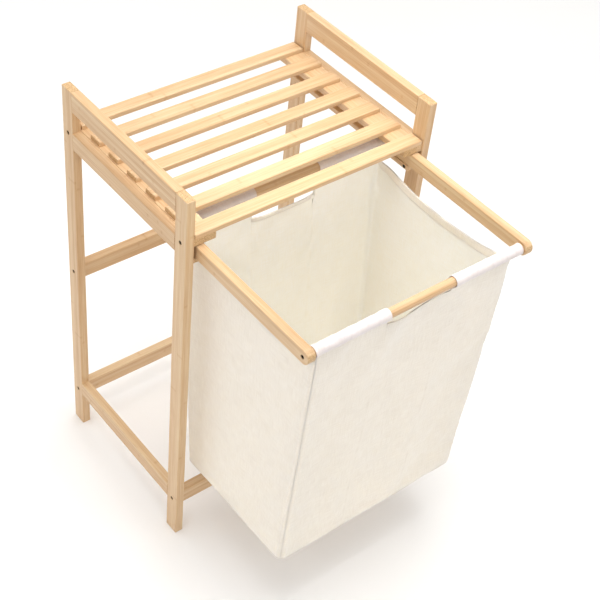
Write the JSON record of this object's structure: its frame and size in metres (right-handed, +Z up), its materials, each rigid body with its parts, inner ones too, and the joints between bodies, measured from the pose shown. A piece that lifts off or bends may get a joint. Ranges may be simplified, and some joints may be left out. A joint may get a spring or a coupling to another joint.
{
  "type": "pull-out laundry rack",
  "caption": "Narrow wooden laundry rack: two side frames, a slatted top shelf and a fabric bag on two dowels between sliding arms that pull out at the front.",
  "frame": {"origin": "on the floor, under the middle of the whole part with its bag pulled out", "axes": "+X across the rack to its right side, +Y from the front to the back, +Z up; the bag pulls out towards -Y and slides in along +Y"},
  "size_m": [0.46, 0.583, 0.73],
  "materials": {
    "bamboo_frame": "laminated bamboo, sanded and clear lacquered, satin",
    "bamboo_slat": "laminated bamboo, sanded and clear lacquered, satin",
    "bamboo_dowel": "turned bamboo, clear lacquered, satin",
    "hardwood_pin": "bare beech",
    "bag_cotton": "off-white cotton canvas, plain weave",
    "screw_steel": "zinc plated, satin"
  },
  "bodies": {
    "frame": {"back_bottom_crossbar": "bamboo_frame", "back_middle_crossbar": "bamboo_frame", "frame_dowels": "hardwood_pin", "frame_screws": "screw_steel", "front_bottom_crossbar": "bamboo_frame", "guide_screws": "screw_steel", "left_arm_guide": "bamboo_frame", "left_back_post": "bamboo_frame", "left_bottom_rail": "bamboo_frame", "left_front_post": "bamboo_frame", "left_shelf_batten": "bamboo_frame", "left_shelf_rail": "bamboo_frame", "left_top_rail": "bamboo_frame", "right_arm_guide": "bamboo_frame", "right_back_post": "bamboo_frame", "right_bottom_rail": "bamboo_frame", "right_front_post": "bamboo_frame", "right_shelf_batten": "bamboo_frame", "right_shelf_rail": "bamboo_frame", "right_top_rail": "bamboo_frame", "shelf_slat_1": "bamboo_slat", "shelf_slat_2": "bamboo_slat", "shelf_slat_3": "bamboo_slat", "shelf_slat_4": "bamboo_slat", "shelf_slat_5": "bamboo_slat", "shelf_slat_6": "bamboo_slat", "shelf_slat_7": "bamboo_slat", "slat_screws": "screw_steel", "slide_stops": "hardwood_pin"},
    "bag_slide": {"arm_screws": "screw_steel", "arm_stop_pins": "hardwood_pin", "front_dowel": "bamboo_dowel", "laundry_bag": "bag_cotton", "left_arm": "bamboo_frame", "rear_dowel": "bamboo_dowel", "right_arm": "bamboo_frame"}
  },
  "joints": [
    {"name": "bag_pull", "type": "slide", "parent": "frame", "child": "bag_slide", "axis": [0, 1, 0], "range_m": [0, 0.24]}
  ]
}
